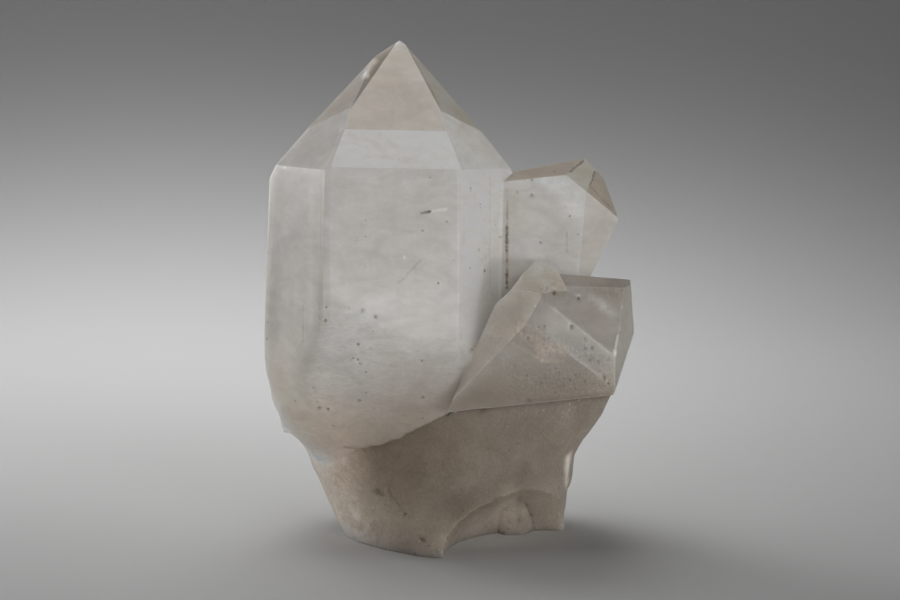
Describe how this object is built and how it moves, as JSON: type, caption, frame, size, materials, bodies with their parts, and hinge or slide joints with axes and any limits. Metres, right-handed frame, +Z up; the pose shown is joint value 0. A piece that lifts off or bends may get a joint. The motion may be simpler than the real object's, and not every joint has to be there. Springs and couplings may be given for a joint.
{
  "type": "quartz specimen",
  "caption": "Milky-clear quartz: a large pointed six-sided crystal with shorter crystals at its side, on a lump of massive quartz that rests flat.",
  "frame": {"origin": "middle of the bounding box's base, on the flat it rests on", "axes": "+Z up to the tip of the large crystal, -Y towards the front with the clean prism face, +X to the right of the front"},
  "size_m": [0.1056, 0.0656, 0.1398],
  "materials": {
    "quartz": "satin"
  },
  "bodies": {
    "root": {"quartz_cluster": "quartz"}
  },
  "joints": []
}
